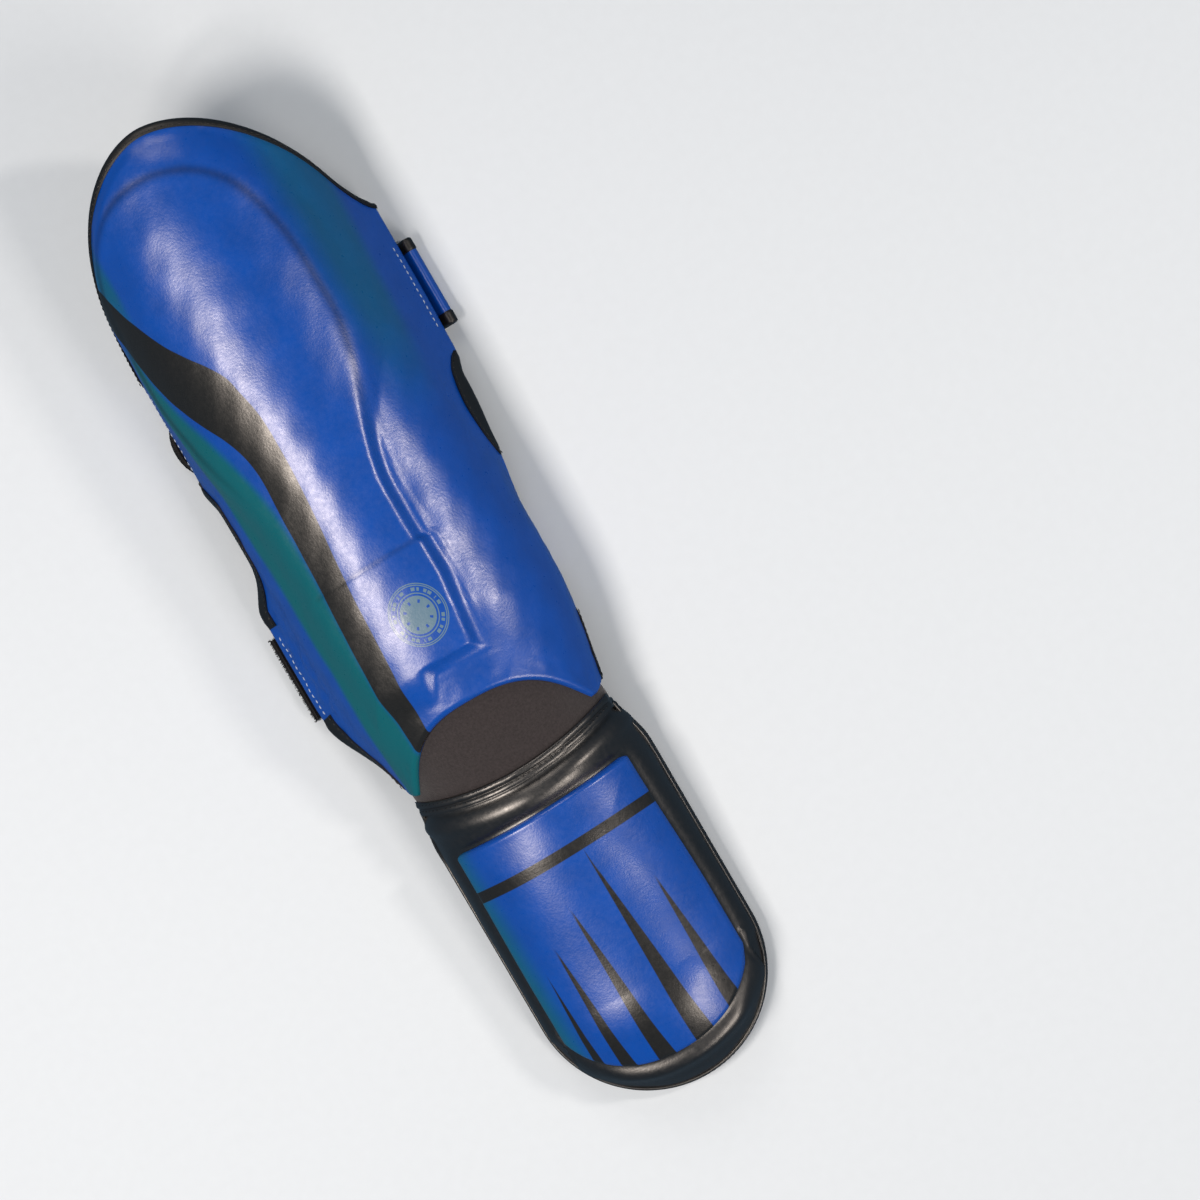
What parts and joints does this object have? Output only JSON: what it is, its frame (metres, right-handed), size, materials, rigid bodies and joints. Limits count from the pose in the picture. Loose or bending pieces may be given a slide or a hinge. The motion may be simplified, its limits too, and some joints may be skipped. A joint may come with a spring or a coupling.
{
  "type": "shin and instep guard",
  "caption": "Padded leg guard: an arched shin shell with two calf straps, joined by a stretch ankle window to a rounded instep pad.",
  "frame": {"origin": "middle of the guard's box, on the surface it lies on with the padded front upwards", "axes": "+X across the leg to the side where the straps are sewn on, +Y from the toe to the knee, +Z out of the padded front"},
  "size_m": [0.1636, 0.5417, 0.084],
  "materials": {
    "blue_leather": "glossy blue synthetic leather with a fine grain",
    "black_leather": "black synthetic leather, satin",
    "stretch_fabric": "charcoal stretch fabric",
    "binding_tape": "black woven binding",
    "elastic_webbing": "ribbed black elastic",
    "hook_tape": "black hook tape",
    "loop_tape": "black loop pile",
    "lining_mesh": "black air mesh",
    "foam": "closed-cell foam",
    "pale_thread": "pale blue thread",
    "dark_thread": "dark grey thread"
  },
  "bodies": {
    "shin": {"shin_cover": "blue_leather", "shin_foam": "foam", "shin_ridge_pad": "foam", "shin_lining": "lining_mesh", "knee_binding": "binding_tape", "right_notch_binding": "binding_tape", "left_notch_binding": "binding_tape", "right_ankle_binding": "binding_tape", "left_ankle_binding": "binding_tape", "strap_anchor_stitches": "pale_thread", "ankle_panel": "stretch_fabric", "upper_strap_root": "blue_leather", "upper_strap_edging": "binding_tape", "upper_loop_tongue": "loop_tape", "lower_strap_root": "blue_leather", "lower_strap_edging": "binding_tape", "lower_loop_tongue": "loop_tape"},
    "instep": {"ankle_seam_tape": "binding_tape", "ankle_seam_stitches": "dark_thread", "instep_cover": "black_leather", "instep_foam": "foam", "instep_lining": "lining_mesh", "instep_panel": "blue_leather", "instep_panel_foam": "foam", "instep_binding": "binding_tape", "instep_strap_front": "elastic_webbing", "instep_strap_rear": "elastic_webbing"},
    "upper_strap": {"upper_strap_elastic": "elastic_webbing"},
    "upper_tab": {"upper_strap_hook_tab": "hook_tape"},
    "lower_strap": {"lower_strap_elastic": "elastic_webbing"},
    "lower_tab": {"lower_strap_hook_tab": "hook_tape"}
  },
  "joints": [
    {"name": "ankle_flex", "type": "hinge", "parent": "shin", "child": "instep", "pos_m": [0, -0.0775, 0.035], "axis": [-1, 0, 0], "range_deg": [-10, 55], "deforming": ["ankle_panel"]},
    {"name": "upper_strap_open", "type": "hinge", "parent": "shin", "child": "upper_strap", "pos_m": [0.058, 0.143, 0], "axis": [0, -1, 0], "range_deg": [0, 140]},
    {"name": "upper_tab_peel", "type": "hinge", "parent": "upper_strap", "child": "upper_tab", "pos_m": [-0.0185, 0.143, 0], "axis": [0, -1, 0], "range_deg": [0, 75]},
    {"name": "lower_strap_open", "type": "hinge", "parent": "shin", "child": "lower_strap", "pos_m": [0.058, 0.005, 0], "axis": [0, -1, 0], "range_deg": [0, 140]},
    {"name": "lower_tab_peel", "type": "hinge", "parent": "lower_strap", "child": "lower_tab", "pos_m": [-0.0185, 0.005, 0], "axis": [0, -1, 0], "range_deg": [0, 75]}
  ]
}
